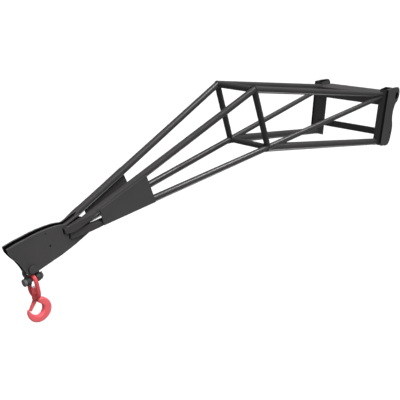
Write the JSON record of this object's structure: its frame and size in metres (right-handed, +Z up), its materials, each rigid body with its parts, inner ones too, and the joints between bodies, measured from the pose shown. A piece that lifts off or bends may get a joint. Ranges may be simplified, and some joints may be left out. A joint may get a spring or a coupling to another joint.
{
  "type": "telehandler lattice jib",
  "caption": "Tapering round-tube lattice jib for a telehandler, with a box-post hitch frame at the rear and a shackle and swivel load hook hanging under twin head plates at the nose.",
  "frame": {"origin": "on the axis of the hitch bar, midway between the two side plates", "axes": "+X forward along the jib to its nose, +Y to the left side, +Z up"},
  "size_m": [4.6181, 0.86, 1.0864],
  "materials": {
    "frame_paint": "semi-gloss near-black paint",
    "red_paint": "glossy bright red paint",
    "shackle_steel": "dark oxidised forged steel",
    "bare_steel": "worn bare steel",
    "zinc": "bright zinc plating"
  },
  "bodies": {
    "frame": {"post_left": "frame_paint", "post_right": "frame_paint", "side_plate_left": "frame_paint", "side_plate_right": "frame_paint", "ear_bush_left": "frame_paint", "ear_bush_right": "frame_paint", "lock_bush_left": "bare_steel", "lock_bush_right": "bare_steel", "hitch_bar": "bare_steel", "upper_beam": "frame_paint", "lower_crossbar": "frame_paint", "top_chord_rear_left": "frame_paint", "top_chord_rear_right": "frame_paint", "top_chord_front_left": "frame_paint", "top_chord_front_right": "frame_paint", "long_chord_left": "frame_paint", "long_chord_right": "frame_paint", "bottom_strut_left": "frame_paint", "bottom_strut_right": "frame_paint", "knee_post_left": "frame_paint", "knee_post_right": "frame_paint", "knee_cross_upper": "frame_paint", "knee_cross_lower": "frame_paint", "side_gusset_left": "frame_paint", "side_gusset_right": "frame_paint", "end_cover_upper_left": "frame_paint", "end_cover_upper_right": "frame_paint", "end_cover_lower_left": "frame_paint", "end_cover_lower_right": "frame_paint", "head_plate_left": "frame_paint", "head_plate_right": "frame_paint", "head_spacer_1": "frame_paint", "head_spacer_2": "frame_paint", "pin_collar": "frame_paint", "head_pin": "frame_paint"},
    "shackle": {"shackle_bow": "shackle_steel", "shackle_bolt": "bare_steel", "shackle_nut": "bare_steel", "split_pin": "zinc"},
    "eye": {"swivel_eye": "red_paint"},
    "hook": {"hook_body": "red_paint", "swivel_nut": "red_paint", "latch_pin": "zinc"},
    "latch": {"latch": "red_paint"}
  },
  "joints": [
    {"name": "shackle_swing", "type": "hinge", "parent": "frame", "child": "shackle", "pos_m": [4.406, 0, -0.289], "axis": [0, 1, 0], "range_deg": [-60, 22]},
    {"name": "eye_swing", "type": "hinge", "parent": "shackle", "child": "eye", "pos_m": [4.402, 0, -0.365], "axis": [1, 0, 0], "range_deg": [-45, 45]},
    {"name": "hook_swivel", "type": "hinge", "parent": "eye", "child": "hook", "pos_m": [4.402, 0, -0.45], "axis": [0, 0, 1], "continuous": true},
    {"name": "latch_open", "type": "hinge", "parent": "hook", "child": "latch", "pos_m": [4.41, 0, -0.502], "axis": [0, 1, 0], "range_deg": [0, 35], "stiffness_Nm_per_rad": 0.3, "springref_deg": -17.19}
  ]
}
